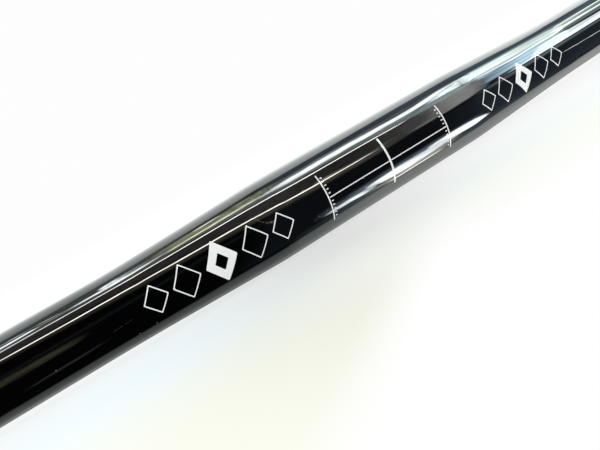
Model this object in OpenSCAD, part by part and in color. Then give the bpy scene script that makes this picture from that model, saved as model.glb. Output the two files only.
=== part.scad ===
// Flat handlebar with a slight backward sweep, an oversize clamp zone and an
// expanding plug in each end.
//
// Frame: the origin is the centre of the clamp zone, on the tube's axis.
// +X runs along the bar to the right as seen from its printed face, +Y points
// back, the way the two ends sweep, and +Z is up. Both bends lie in the XY
// plane, so the bar lies flat. Millimetres.

/* [Bar] */
// Overall width from tube end to tube end
bar_w = 580; // [480:10:640]
// Outer diameter of the clamp zone
clamp_d = 25.4; // [25:0.1:26]
// Outer diameter of the grip zones and ends
grip_d = 22.2; // [22:0.1:22.4]
// Wall thickness in the clamp zone
wall_clamp = 2.6; // [2.2:0.1:3]
// Wall thickness at the ends
wall_end = 1.8; // [1.7:0.05:1.9]
// Chamfer on the outer edge of each end
end_chamfer = 0.4; // [0.2:0.1:0.6]

/* [Bends] */
// Half length of the straight clamp zone
clamp_half = 38; // [34:1:40]
// Angle of the first bend, beside the clamp zone
bend_in = 3; // [2:0.5:4]
// Centreline radius of the first bend
bend_in_r = 80; // [60:5:100]
// Angle of the second bend, at the small end of the taper
bend_out = 5; // [3:0.5:6]
// Centreline radius of the second bend
bend_out_r = 120; // [100:10:160]
// Length of each taper along its axis
taper_l = 42.8; // [38:0.1:48]

/* [Printed marks] */
// Thickness of the ink
ink = 0.03; // [0.02:0.01:0.05]
// Roll of the printed face below the level line, in degrees
face_roll = 9.6; // [0:0.1:15]
// Distance of each scale ring from the centre ring
ring_x = 24.8; // [20:0.1:28]
// Half angle that each ring line covers, in degrees
ring_half = 35.6; // [30:0.1:42]
// Width of the scale rings
line_w = 0.42; // [0.3:0.02:0.6]
// Width of the centre ring
centre_w = 0.68; // [0.4:0.02:1]
// Angle between the ticks of the roll scale
tick_step = 5.8; // [5:0.1:6.5]
// Ticks above and below the datum line on each scale
tick_count = 5; // [3:1:6]
// Length of a tick along the bar
tick_l = 0.75; // [0.6:0.05:1.2]
// Width of a tick and of the datum line
tick_w = 0.3; // [0.2:0.02:0.4]
// Middle of the left diamond pattern
pattern_left_x = -62.5; // [-63:0.5:-60]
// Middle of the right diamond pattern
pattern_right_x = 64; // [62:0.5:66]

/* [End plugs] */
// Outer diameter of the cap's flange
cap_d = 22; // [21.4:0.1:22]
// Thickness of the flange
cap_t = 3; // [2:0.25:4]
// Clearance of the sliding pieces in the tube, on the radius
slip = 0.05; // [0.03:0.01:0.08]
// Nominal diameter of the plug's screw
screw_d = 5; // [4.8:0.1:5]
// Length of the expander sleeve
sleeve_l = 12; // [10:0.5:14]
// Number of slits in the expander sleeve
slits = 4; // [4:2:6]
// Width of a slit
slit_w = 1.4; // [1.2:0.1:1.6]

/* [Hidden] */

rc = clamp_d / 2;
rg = grip_d / 2;
bc = rc - wall_clamp;
bg = rg - wall_end;
sweep = bend_in + bend_out;
neck = 0.15;
lap = 1;

// The path of one half of the bar, in the plane of the bends.
p1 = [clamp_half, 0];
c1 = [clamp_half, bend_in_r];
p2 = c1 + bend_in_r * [sin(bend_in), -cos(bend_in)];
p3 = p2 + taper_l * [cos(bend_in), sin(bend_in)];
c2 = p3 + bend_out_r * [-sin(bend_in), cos(bend_in)];
p4 = c2 + bend_out_r * [sin(sweep), -cos(sweep)];
grip_l = (bar_w / 2 - p4[0]) / cos(sweep);
p5 = p4 + grip_l * [cos(sweep), sin(sweep)];

$fn = 96;

// Child's +Z laid along the bar at point p, turned back by angle a.
module along(p, a) {
    translate([p[0], p[1], 0]) rotate([0, 0, a]) rotate([0, 90, 0]) children();
}

// One stretch of a round bar along the path: 0 the clamp zone, 1 the first
// bend, 2 the taper, 3 the second bend, 4 the grip zone. ra is the radius in
// the clamp zone, rb in the grip zone, and x runs the stretch past both ends.
module stretch(i, ra, rb, x = 0) {
    if (i == 0)
        along([-clamp_half - x, 0], 0) cylinder(r = ra, h = 2 * clamp_half + 2 * x);
    if (i == 1)
        translate([c1[0], c1[1], 0]) rotate([0, 0, -90 - x]) rotate_extrude(angle = bend_in + 2 * x, $fn = 960)
            translate([bend_in_r, 0]) circle(r = ra, $fn = 96);
    if (i == 2)
        along(p2, bend_in) translate([0, 0, -x])
            cylinder(r1 = ra + (ra - rb) / taper_l * x, r2 = rb - (ra - rb) / taper_l * x, h = taper_l + 2 * x);
    if (i == 3)
        translate([c2[0], c2[1], 0]) rotate([0, 0, bend_in - 90 - x]) rotate_extrude(angle = bend_out + 2 * x, $fn = 960)
            translate([bend_out_r, 0]) circle(r = rb, $fn = 96);
    if (i == 4)
        along(p4, sweep) translate([0, 0, -x]) cylinder(r = rb, h = grip_l + 2 * x);
}

// A straight wall turned about its axis: outer radii o0 to o1 and inner radii
// i0 to i1 over the length l.
module turned(l, o0, o1, i0, i1) {
    rotate_extrude() polygon([[i0, 0], [o0, 0], [o1, l], [i1, l]]);
}

// The wall of one stretch. A bend draws the wall down by neck, and its ends run
// on inside the walls of its two neighbours.
module wall(i) {
    x = i == 1 ? lap / bend_in_r * 180 / PI : lap / bend_out_r * 180 / PI;
    if (i == 0) along([-clamp_half, 0], 0) turned(2 * clamp_half, rc, rc, bc, bc);
    if (i == 2) along(p2, bend_in) turned(taper_l, rc, rg, bc, bg);
    if (i % 2 == 1) difference() {
        stretch(i, rc - neck, rg - neck, x);
        stretch(i, bc + neck, bg + neck, x + 0.5);
    }
}

// The last stretch, with its edges broken at the end face.
module end_wall() {
    c = end_chamfer;
    along(p4, sweep) rotate_extrude() polygon([[bg, 0], [rg, 0], [rg, grip_l - c],
        [rg - c, grip_l], [bg + 0.3, grip_l], [bg, grip_l - 0.3]]);
}

module half_bar() {
    for (i = [1 : 3]) wall(i);
    end_wall();
}

module bar_tube() {
    color([0.02, 0.02, 0.022]) union() {
        wall(0);
        half_bar();
        mirror([1, 0, 0]) half_bar();
    }
}

// ---- printed marks ----

// Ink band round the clamp zone from x0 to x1, between the angles a0 and a1
// measured down from the datum line.
module band(x0, x1, a0, a1) {
    rotate([0, 90, 0]) rotate([0, 0, face_roll + a0 - 90]) rotate_extrude(angle = a1 - a0)
        translate([rc, x0]) square([ink, x1 - x0]);
}

module ink_colour() { color([0.93, 0.93, 0.91]) children(); }

module ring_at(x, w, half) { band(x - w / 2, x + w / 2, -half, half); }

tick_deg = tick_w / rc * 180 / PI;
tick_off = 0.58;

// side is 1 for the right scale, -1 for the left; the ticks point inward.
module ticks_at(side) {
    x = side * (ring_x - tick_off - tick_l / 2);
    for (k = [-tick_count : tick_count])
        if (k != 0)
            band(x - tick_l / 2, x + tick_l / 2, k * tick_step - tick_deg / 2, k * tick_step + tick_deg / 2);
}

module datum_line_print() {
    ink_colour() for (s = [-1, 1])
        band(s > 0 ? centre_w / 2 + 0.01 : -ring_x + 0.45,
             s > 0 ? ring_x - 0.35 : -centre_w / 2 - 0.01,
             -tick_deg / 2, tick_deg / 2);
}
module centre_ring_print() { ink_colour() ring_at(0, centre_w, ring_half + 1); }
module left_ring_print() { ink_colour() ring_at(-ring_x, line_w, ring_half); }
module right_ring_print() { ink_colour() ring_at(ring_x, line_w, ring_half); }
module left_ticks_print() { ink_colour() ticks_at(-1); }
module right_ticks_print() { ink_colour() ticks_at(1); }

// A diamond w long and h high, left as an outline t wide unless t is 0.
module diamond(w, h, t) {
    k = t * sqrt(w * w + h * h);
    difference() {
        polygon([[-w / 2, 0], [0, -h / 2], [w / 2, 0], [0, h / 2]]);
        if (t > 0)
            polygon([[-w / 2 + k / h, 0], [0, -h / 2 + k / w], [w / 2 - k / h, 0], [0, h / 2 - k / w]]);
    }
}

// A row of diamonds, largest and solid in the middle, outlined and smaller to
// each side. n is how many to each side, w and h the middle one's size.
module diamond_row(n, w, h, gap) {
    difference() {
        diamond(w, h, 0);
        diamond(w * 0.42, h * 0.42, 0);
    }
    for (s = [-1, 1], i = [1 : n])
        translate([s * i * (w + gap) * (1 - 0.065 * (i - 1)), 0]) diamond(w * (1 - 0.12 * i), h * (1 - 0.15 * i), 0.34);
}

// Ink over the outline child on the front of the bar. The film is cut out of a
// thin skin on each stretch.
module printed_on(x, right) {
    ink_colour() for (i = [0 : 3]) let (e = i % 2 == 1 ? neck : 0) intersection() {
        mirror([right ? 0 : 1, 0, 0]) difference() {
            stretch(i, rc - e + ink, rg - e + ink);
            stretch(i, rc - e, rg - e, 0.5);
        }
        rotate([face_roll, 0, 0]) translate([x, 0, 0]) rotate([90, 0, 0])
            linear_extrude(height = 16) children();
    }
}

module left_pattern_print() {
    printed_on(pattern_left_x, false) diamond_row(2, 10.2, 12.8, 0.9);
}
module right_pattern_print() {
    printed_on(pattern_right_x, true) diamond_row(2, 9.4, 11.4, 0.8);
}

// ---- end plug, modelled on the right end ----
// Local +Z is the end's axis pointing out of the tube; z = 0 is the end face.

spigot_l = 7;
groove_z = -4.6;
groove_w = 2.1;
ring_r = 0.9;
head_r = 4.25;
head_h = 5;
seat_z = -3.5;
washer_t = 0.5;
sr = screw_d / 2;
sleeve_z = -spigot_l - 0.05;
cone_z = sleeve_z - 4;
cone_k = 0.3;
cone_r = 5.2;
nut_gap = 0.12;

module at_end() { along(p5, sweep) children(); }

module plug_cap() {
    at_end() difference() {
        union() {
            // flange with a rounded rim
            rotate_extrude() difference() {
                union() {
                    translate([0, 0.05]) square([cap_d / 2 - 0.9, cap_t - 0.05]);
                    translate([0, 0.05]) square([cap_d / 2, cap_t - 0.95]);
                    translate([cap_d / 2 - 0.9, cap_t - 0.9]) circle(r = 0.9);
                }
                translate([-2, -1]) square([2, cap_t + 2]);
            }
            translate([0, 0, -spigot_l]) cylinder(r = bg - slip, h = spigot_l + 0.1);
        }
        // counterbore of the screw's head, with a broken edge
        translate([0, 0, seat_z]) cylinder(r = head_r + 0.65, h = 20);
        translate([0, 0, cap_t - 0.4]) cylinder(r1 = head_r + 0.65, r2 = head_r + 1.15, h = 0.5);
        translate([0, 0, -20]) cylinder(r = sr + 0.2, h = 20);
        // groove of the O-ring
        translate([0, 0, groove_z - groove_w / 2]) difference() {
            cylinder(r = bg + 1, h = groove_w);
            translate([0, 0, -1]) cylinder(r = bg - slip - 2 * ring_r, h = groove_w + 2);
        }
    }
}

module o_ring() {
    at_end() translate([0, 0, groove_z])
        rotate_extrude() translate([bg - slip - ring_r + 0.02, 0]) circle(r = ring_r - 0.02);
}

module expander_sleeve() {
    at_end() difference() {
        translate([0, 0, sleeve_z - sleeve_l]) cylinder(r = bg - slip, h = sleeve_l);
        translate([0, 0, sleeve_z - sleeve_l - 1]) cylinder(r = sr + 0.5, h = sleeve_l + 2);
        // the mouth that the cone draws into
        translate([0, 0, cone_z - sleeve_l]) cylinder(r1 = cone_r + cone_k * sleeve_l, r2 = cone_r, h = sleeve_l);
        // shallow grip rings round the outside
        for (i = [0 : 3]) translate([0, 0, sleeve_z - 2.6 - i * 2.2]) difference() {
            cylinder(r = bg + 1, h = 0.7);
            translate([0, 0, -1]) cylinder(r = bg - slip - 0.35, h = 3);
        }
        for (i = [0 : slits / 2 - 1]) rotate([0, 0, i * 360 / slits])
            translate([-bg - 1, -slit_w / 2, sleeve_z - sleeve_l - 1]) cube([2 * bg + 2, slit_w, sleeve_l - 1.5]);
    }
}

nut_top = cone_z - 1.5;
nut_wide = sleeve_z - sleeve_l - 2;
nut_low = nut_wide - 2;
nut_r1 = cone_r + cone_k * (cone_z - nut_top) - nut_gap;
nut_r2 = cone_r + cone_k * (cone_z - nut_wide) - nut_gap;

module cone_nut() {
    at_end() difference() {
        union() {
            translate([0, 0, nut_wide]) cylinder(r1 = nut_r2, r2 = nut_r1, h = nut_top - nut_wide);
            translate([0, 0, nut_low]) cylinder(r = nut_r2, h = nut_wide - nut_low);
            // keys that ride in two of the slits and stop it turning
            intersection() {
                translate([-bg, -slit_w / 2 + 0.15, nut_low]) cube([2 * bg, slit_w - 0.3, nut_top - nut_low - 1]);
                translate([0, 0, nut_low]) cylinder(r = bg - 0.5, h = 20);
            }
        }
        translate([0, 0, nut_low - 1]) cylinder(r = sr + slip, h = 30);
        translate([0, 0, nut_low - 0.1]) cylinder(r1 = sr + 0.6, r2 = sr + slip, h = 0.6);
    }
}

screw_end = nut_low - 1.5;

module plug_screw() {
    at_end() difference() {
        union() {
            translate([0, 0, seat_z + washer_t + 0.03]) cylinder(r = head_r, h = head_h - 0.4);
            translate([0, 0, seat_z + washer_t + 0.03 + head_h - 0.4]) cylinder(r1 = head_r, r2 = head_r - 0.4, h = 0.4);
            translate([0, 0, screw_end + 0.5]) cylinder(r = sr, h = seat_z + washer_t + 0.1 - screw_end - 0.5);
            translate([0, 0, screw_end]) cylinder(r1 = sr - 0.5, r2 = sr, h = 0.5);
        }
        // hexagon socket, 4 mm across flats
        translate([0, 0, seat_z + washer_t + head_h - 2.6]) linear_extrude(height = 4) circle(r = 2 / cos(30), $fn = 6);
    }
}

module washer() {
    at_end() translate([0, 0, seat_z + 0.015]) difference() {
        cylinder(r = head_r + 0.45, h = washer_t);
        translate([0, 0, -1]) cylinder(r = sr + 0.15, h = 3);
    }
}

module left() { mirror([1, 0, 0]) children(); }

module cap_colour() { color([0.05, 0.05, 0.055]) children(); }
module sleeve_colour() { color([0.16, 0.16, 0.17]) children(); }
module nut_colour() { color([0.72, 0.6, 0.35]) children(); }
module steel_colour() { color([0.62, 0.62, 0.64]) children(); }
module rubber_colour() { color([0.03, 0.03, 0.03]) children(); }

module right_plug_cap() { cap_colour() plug_cap(); }
module right_o_ring() { rubber_colour() o_ring(); }
module right_expander_sleeve() { sleeve_colour() expander_sleeve(); }
module right_cone_nut() { nut_colour() cone_nut(); }
module right_plug_screw() { steel_colour() plug_screw(); }
module right_washer() { steel_colour() washer(); }
module left_plug_cap() { cap_colour() left() plug_cap(); }
module left_o_ring() { rubber_colour() left() o_ring(); }
module left_expander_sleeve() { sleeve_colour() left() expander_sleeve(); }
module left_cone_nut() { nut_colour() left() cone_nut(); }
module left_plug_screw() { steel_colour() left() plug_screw(); }
module left_washer() { steel_colour() left() washer(); }

bar_tube();
datum_line_print();
centre_ring_print();
left_ring_print();
left_ticks_print();
right_ring_print();
right_ticks_print();
left_pattern_print();
right_pattern_print();
left_plug_cap();
left_o_ring();
left_expander_sleeve();
left_cone_nut();
left_plug_screw();
left_washer();
right_plug_cap();
right_o_ring();
right_expander_sleeve();
right_cone_nut();
right_plug_screw();
right_washer();
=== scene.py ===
import math
import bpy
import bmesh
from mathutils import Vector, Matrix


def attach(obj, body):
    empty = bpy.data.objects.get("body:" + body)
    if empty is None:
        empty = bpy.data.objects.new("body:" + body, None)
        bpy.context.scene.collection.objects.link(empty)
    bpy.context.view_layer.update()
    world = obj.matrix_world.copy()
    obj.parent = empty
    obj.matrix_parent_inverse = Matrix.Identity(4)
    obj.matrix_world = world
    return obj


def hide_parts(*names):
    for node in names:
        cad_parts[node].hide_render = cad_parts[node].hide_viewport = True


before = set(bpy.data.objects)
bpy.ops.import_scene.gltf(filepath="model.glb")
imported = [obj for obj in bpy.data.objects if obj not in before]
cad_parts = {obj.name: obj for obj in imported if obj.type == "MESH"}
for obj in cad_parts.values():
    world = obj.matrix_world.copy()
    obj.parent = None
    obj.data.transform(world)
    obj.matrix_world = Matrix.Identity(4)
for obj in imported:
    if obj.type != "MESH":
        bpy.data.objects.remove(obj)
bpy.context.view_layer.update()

MM = 0.001

# ---------------------------------------------------------------- the path
CLAMP_HALF, BEND_IN, BEND_IN_R = 38.0, 3.0, 80.0
BEND_OUT, BEND_OUT_R, TAPER_L, BAR_W = 5.0, 120.0, 42.8, 580.0
RC, RG, WALL_C, WALL_E = 12.7, 11.1, 2.6, 1.8
ROLL = math.radians(9.6)

A1, A2 = math.radians(BEND_IN), math.radians(BEND_IN + BEND_OUT)
P2 = (CLAMP_HALF + BEND_IN_R * math.sin(A1), BEND_IN_R * (1 - math.cos(A1)))
P3 = (P2[0] + TAPER_L * math.cos(A1), P2[1] + TAPER_L * math.sin(A1))
C2 = (P3[0] - BEND_OUT_R * math.sin(A1), P3[1] + BEND_OUT_R * math.cos(A1))
P4 = (C2[0] + BEND_OUT_R * math.sin(A2), C2[1] - BEND_OUT_R * math.cos(A2))
GRIP_L = (BAR_W / 2 - P4[0]) / math.cos(A2)
P5 = (BAR_W / 2, P4[1] + GRIP_L * math.sin(A2))
S1 = CLAMP_HALF
S2 = S1 + BEND_IN_R * A1
S3 = S2 + TAPER_L
S4 = S3 + BEND_OUT_R * (A2 - A1)
S5 = S4 + GRIP_L


def centre(s):
    """Point and heading of the centreline at the signed arc length s, in mm."""
    t, g = abs(s), (1 if s >= 0 else -1)
    if t <= S1:
        x, y, a = t, 0.0, 0.0
    elif t <= S2:
        a = (t - S1) / BEND_IN_R
        x, y = S1 + BEND_IN_R * math.sin(a), BEND_IN_R * (1 - math.cos(a))
    elif t <= S3:
        a = A1
        x, y = P2[0] + (t - S2) * math.cos(a), P2[1] + (t - S2) * math.sin(a)
    elif t <= S4:
        a = A1 + (t - S3) / BEND_OUT_R
        x, y = C2[0] + BEND_OUT_R * math.sin(a), C2[1] - BEND_OUT_R * math.cos(a)
    else:
        a = A2
        x, y = P4[0] + (t - S4) * math.cos(a), P4[1] + (t - S4) * math.sin(a)
    return g * x, y, g * a


def smooth(t):
    t = min(max(t, 0.0), 1.0)
    return t * t * (3 - 2 * t)


def radius(s):
    """Outer radius: a straight taper whose two ends are rounded over a few millimetres."""
    t = abs(s)
    t0, t1 = S2 + 0.5, S3 + 5.0

    def ramp(d, soft):  # integral of a step smoothed over +-soft
        if d <= -soft:
            return 0.0
        if d >= soft:
            return d
        return (d + soft) ** 2 / (4 * soft)

    return RC - (RC - RG) / (t1 - t0) * (ramp(t - t0, 5.0) - ramp(t - t1, 8.0))


def on_tube(s, ang, lift=0.0, r=None):
    """Point at arc length s and angle ang, from the front (-Y) and down positive."""
    x, y, a = centre(s)
    rr = (radius(s) if r is None else r) + lift
    nx, ny = math.sin(a), -math.cos(a)
    c, d = math.cos(ang), math.sin(ang)
    return Vector(((x + rr * nx * c) * MM, (y + rr * ny * c) * MM, -rr * d * MM))


# ---------------------------------------------------------------- materials
def new_mat(name):
    m = bpy.data.materials.new(name)
    m.use_nodes = True
    nt = m.node_tree
    nt.nodes.clear()
    out = nt.nodes.new("ShaderNodeOutputMaterial")
    bs = nt.nodes.new("ShaderNodeBsdfPrincipled")
    nt.links.new(bs.outputs[0], out.inputs[0])
    return m, nt, bs


def N(nt, kind, **props):
    n = nt.nodes.new(kind)
    for k, v in props.items():
        setattr(n, k, v)
    return n


def put(node, **vals):
    for k, v in vals.items():
        node.inputs[k.replace("_", " ")].default_value = v


def link(nt, a, b):
    nt.links.new(a, b)


def math_node(nt, op, a, b=None, c=None, clamp=False):
    n = N(nt, "ShaderNodeMath", operation=op, use_clamp=clamp)
    for i, v in enumerate((a, b, c)):
        if v is None:
            continue
        if isinstance(v, (int, float)):
            n.inputs[i].default_value = v
        else:
            link(nt, v, n.inputs[i])
    return n.outputs[0]


def step(nt, val, lo, hi, smoothstep=True, a=0.0, b=1.0):
    n = N(nt, "ShaderNodeMapRange", interpolation_type="SMOOTHSTEP" if smoothstep else "LINEAR", clamp=True)
    link(nt, val, n.inputs["Value"])
    n.inputs["From Min"].default_value = lo
    n.inputs["From Max"].default_value = hi
    n.inputs["To Min"].default_value = a
    n.inputs["To Max"].default_value = b
    return n.outputs[0]


def noise(nt, vec, scale, detail=2.0, rough=0.5, stretch=None, dist=0.0):
    if stretch:
        m = N(nt, "ShaderNodeMapping")
        m.inputs["Scale"].default_value = stretch
        link(nt, vec, m.inputs["Vector"])
        vec = m.outputs[0]
    n = N(nt, "ShaderNodeTexNoise")
    n.inputs["Scale"].default_value = scale
    n.inputs["Detail"].default_value = detail
    n.inputs["Roughness"].default_value = rough
    n.inputs["Distortion"].default_value = dist
    link(nt, vec, n.inputs["Vector"])
    return n.outputs["Fac"]


def mix_rgb(nt, fac, a, b):
    n = N(nt, "ShaderNodeMix", data_type="RGBA")
    if isinstance(fac, (int, float)):
        n.inputs[0].default_value = fac
    else:
        link(nt, fac, n.inputs[0])
    for i, v in ((6, a), (7, b)):
        if isinstance(v, tuple):
            n.inputs[i].default_value = v
        else:
            link(nt, v, n.inputs[i])
    return n.outputs[2]


def bump(nt, height, strength, distance):
    b = N(nt, "ShaderNodeBump")
    b.inputs["Strength"].default_value = strength
    b.inputs["Distance"].default_value = distance
    link(nt, height, b.inputs["Height"])
    return b


# ends of each scuff as mm along the tube and degrees down from the front, width in mm, strength
SCUFFS = [(-47.9, -21.0, -46.7, -11.5, 0.30, 0.9), (-46.7, -11.5, -45.0, -4.5, 0.22, 0.7), (-45.0, -4.5, -43.0, -1.5, 0.42, 1.0),
          (-45.6, -46.0, -44.6, -43.0, 0.35, 0.8), (-44.6, -45.5, -43.4, -44.6, 0.25, 0.6), (-45.0, -51.0, -44.2, -46.5, 0.18, 0.5),
          (-44.2, -35.5, -43.2, -31.0, 0.16, 0.5), (43.6, -47.0, 44.8, -38.0, 0.30, 0.3), (-30.2, 24.5, -29.4, 27.5, 0.28, 0.8),
          (-31.8, 27.0, -31.2, 28.6, 0.3, 0.6), (58.0, 12.0, 66.0, 14.5, 0.10, 0.35), (-96.0, 17.0, -90.5, 15.0, 0.10, 0.4),
          (132.0, -30.0, 139.0, -22.0, 0.14, 0.5), (-171.0, 8.0, -166.0, 14.0, 0.16, 0.5), (206.0, 60.0, 214.0, 66.0, 0.16, 0.5)]


def scuff_line(nt, uv, x0, a0, x1, a1, w):
    """1 on the line between two places on the tube, fading out over w."""
    p0 = Vector((x0 * MM, math.radians(a0) * RG * MM, 0))
    d = Vector((x1 * MM, math.radians(a1) * RG * MM, 0)) - p0
    rel = N(nt, "ShaderNodeVectorMath", operation="SUBTRACT")
    link(nt, uv, rel.inputs[0])
    rel.inputs[1].default_value = p0
    dot = N(nt, "ShaderNodeVectorMath", operation="DOT_PRODUCT")
    link(nt, rel.outputs[0], dot.inputs[0])
    dot.inputs[1].default_value = d / d.length_squared
    t = math_node(nt, "ADD", dot.outputs["Value"], 0.0, clamp=True)
    at = N(nt, "ShaderNodeVectorMath", operation="SCALE")
    at.inputs[0].default_value = d
    link(nt, t, at.inputs["Scale"])
    gap = N(nt, "ShaderNodeVectorMath", operation="DISTANCE")
    link(nt, rel.outputs[0], gap.inputs[0])
    link(nt, at.outputs[0], gap.inputs[1])
    return step(nt, gap.outputs["Value"], 0.0, w * MM, a=1.0, b=0.0)


def gloss_black():
    """Black lacquer on a drawn tube: a clear coat over it, faint streaks that run along the tube, hairline scratches,
    scuffs round the clamp's edges and a little dust."""
    m, nt, bs = new_mat("gloss_black_paint")
    uv = N(nt, "ShaderNodeUVMap", uv_map="tube").outputs[0]  # metres along, metres round
    obj = N(nt, "ShaderNodeTexCoord").outputs["Object"]
    sep = N(nt, "ShaderNodeSeparateXYZ")
    link(nt, uv, sep.inputs[0])
    along, around = sep.outputs[0], sep.outputs[1]

    drawn = noise(nt, uv, 1.0, 4.0, 0.6, stretch=(9.0, 2600.0, 1.0))
    broad = noise(nt, uv, 1.0, 2.0, 0.5, stretch=(5.0, 380.0, 1.0))
    peel = noise(nt, obj, 900.0, 2.0, 0.5)

    # hairline scratches: thin iso lines of a stretched noise, kept in patches
    s1 = noise(nt, uv, 1.0, 1.0, 0.4, stretch=(60.0, 900.0, 1.0), dist=0.6)
    line = math_node(nt, "ABSOLUTE", math_node(nt, "SUBTRACT", s1, 0.5))
    hair = step(nt, line, 0.0, 0.006, a=1.0, b=0.0)
    patch = step(nt, noise(nt, obj, 60.0, 2.0), 0.56, 0.66)
    hair = math_node(nt, "MULTIPLY", hair, patch)
    # scuffs beside the clamp zone, each a short soft line broken up by noise
    crumb = step(nt, noise(nt, obj, 2600.0, 2.0, 0.6), 0.42, 0.62)
    rub = None
    for x0, a0, x1, a1, w, g in SCUFFS:
        k = math_node(nt, "MULTIPLY", scuff_line(nt, uv, x0, a0, x1, a1, w), g)
        rub = k if rub is None else math_node(nt, "MAXIMUM", rub, k)
    rub = math_node(nt, "MULTIPLY", rub, crumb)
    # dust: small pale specks
    vor = N(nt, "ShaderNodeTexVoronoi", feature="F1")
    vor.inputs["Scale"].default_value = 420.0
    link(nt, obj, vor.inputs["Vector"])
    speck = step(nt, vor.outputs["Distance"], 0.03, 0.09, a=1.0, b=0.0)
    few = step(nt, noise(nt, obj, 330.0, 0.0), 0.66, 0.7)
    dust = math_node(nt, "MULTIPLY", speck, few)

    base = mix_rgb(nt, broad, (0.0006, 0.0006, 0.0007, 1), (0.0014, 0.0014, 0.0016, 1))
    base = mix_rgb(nt, math_node(nt, "MULTIPLY", hair, 0.5), base, (0.040, 0.040, 0.040, 1))
    base = mix_rgb(nt, math_node(nt, "MULTIPLY", rub, 0.8), base, (0.20, 0.18, 0.15, 1))
    base = mix_rgb(nt, math_node(nt, "MULTIPLY", dust, 0.75), base, (0.35, 0.35, 0.34, 1))
    link(nt, base, bs.inputs["Base Color"])
    rough = math_node(nt, "ADD", 0.10, math_node(nt, "MULTIPLY", drawn, 0.10))
    rough = math_node(nt, "ADD", rough, math_node(nt, "MULTIPLY", math_node(nt, "ADD", rub, dust), 0.3))
    link(nt, rough, bs.inputs["Roughness"])
    bs.inputs["Specular IOR Level"].default_value = 0.0
    bs.inputs["Coat Weight"].default_value = 1.0
    bs.inputs["Coat Roughness"].default_value = 0.018
    bs.inputs["Coat IOR"].default_value = 1.5
    h = math_node(nt, "ADD", math_node(nt, "MULTIPLY", drawn, 0.35), math_node(nt, "MULTIPLY", broad, 1.2))
    h = math_node(nt, "ADD", h, math_node(nt, "MULTIPLY", peel, 0.25))
    h = math_node(nt, "SUBTRACT", h, math_node(nt, "MULTIPLY", hair, 0.5))
    b = bump(nt, h, 0.18, 0.00002)
    link(nt, b.outputs[0], bs.inputs["Normal"])
    link(nt, b.outputs[0], bs.inputs["Coat Normal"])
    return m


def white_ink():
    """Screen-printed ink: a dense white film with the faint mottle and pinholes of a print."""
    m, nt, bs = new_mat("white_screen_ink")
    obj = N(nt, "ShaderNodeTexCoord").outputs["Object"]
    n1 = noise(nt, obj, 2600.0, 3.0, 0.6)
    n2 = noise(nt, obj, 320.0, 2.0, 0.5)
    col = mix_rgb(nt, n1, (0.90, 0.90, 0.89, 1), (0.97, 0.97, 0.965, 1))
    pin = step(nt, noise(nt, obj, 3800.0, 1.0, 0.5), 0.27, 0.31, a=1.0, b=0.0)
    col = mix_rgb(nt, math_node(nt, "MULTIPLY", pin, 0.5), col, (0.25, 0.25, 0.25, 1))
    col = mix_rgb(nt, math_node(nt, "MULTIPLY", n2, 0.10), col, (0.86, 0.85, 0.80, 1))
    link(nt, col, bs.inputs["Base Color"])
    link(nt, math_node(nt, "ADD", 0.34, math_node(nt, "MULTIPLY", n1, 0.16)), bs.inputs["Roughness"])
    bs.inputs["Specular IOR Level"].default_value = 0.35
    bs.inputs["Coat Weight"].default_value = 0.5
    bs.inputs["Coat Roughness"].default_value = 0.06
    b = bump(nt, n1, 0.2, 0.00001)
    link(nt, b.outputs[0], bs.inputs["Normal"])
    return m


# local frame of the right end, for turned parts
def axis_coords(nt, side):
    """Object coordinates turned so that Z runs out along the end's axis from the end face."""
    obj = N(nt, "ShaderNodeTexCoord").outputs["Object"]
    sub = N(nt, "ShaderNodeVectorMath", operation="SUBTRACT")
    link(nt, obj, sub.inputs[0])
    sub.inputs[1].default_value = (side * P5[0] * MM, P5[1] * MM, 0)
    rot = N(nt, "ShaderNodeVectorRotate", rotation_type="Z_AXIS")
    link(nt, sub.outputs[0], rot.inputs["Vector"])
    rot.inputs["Angle"].default_value = -side * A2
    return rot.outputs[0]  # X is now the axis


def turned(name, side, base_a, base_b, metal, rough_a, rough_b, ring_scale, ring_strength, spec=0.5, coat=0.0):
    m, nt, bs = new_mat(name)
    v = axis_coords(nt, side)
    sep = N(nt, "ShaderNodeSeparateXYZ")
    link(nt, v, sep.inputs[0])
    comb = N(nt, "ShaderNodeCombineXYZ")
    link(nt, sep.outputs[1], comb.inputs[0])
    link(nt, sep.outputs[2], comb.inputs[1])
    ln = N(nt, "ShaderNodeVectorMath", operation="LENGTH")
    link(nt, comb.outputs[0], ln.inputs[0])
    rz = N(nt, "ShaderNodeCombineXYZ")
    link(nt, sep.outputs[0], rz.inputs[0])
    link(nt, ln.outputs["Value"], rz.inputs[1])
    rings = noise(nt, rz.outputs[0], ring_scale, 3.0, 0.7)
    grain = noise(nt, v, 1400.0, 3.0, 0.6)
    blot = noise(nt, v, 160.0, 2.0, 0.5)
    col = mix_rgb(nt, blot, base_a, base_b)
    wear = step(nt, noise(nt, v, 520.0, 3.0, 0.65), 0.66, 0.76)
    col = mix_rgb(nt, math_node(nt, "MULTIPLY", wear, 0.12), col, (0.4, 0.4, 0.4, 1))
    link(nt, col, bs.inputs["Base Color"])
    bs.inputs["Metallic"].default_value = metal
    bs.inputs["Specular IOR Level"].default_value = spec
    r = math_node(nt, "ADD", rough_a, math_node(nt, "MULTIPLY", grain, rough_b - rough_a))
    link(nt, r, bs.inputs["Roughness"])
    h = math_node(nt, "ADD", math_node(nt, "MULTIPLY", rings, 1.0), math_node(nt, "MULTIPLY", grain, 0.25))
    b = bump(nt, h, ring_strength, 0.00006)
    link(nt, b.outputs[0], bs.inputs["Normal"])
    if coat:
        bs.inputs["Coat Weight"].default_value = coat
        bs.inputs["Coat Roughness"].default_value = 0.2
    return m


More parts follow.
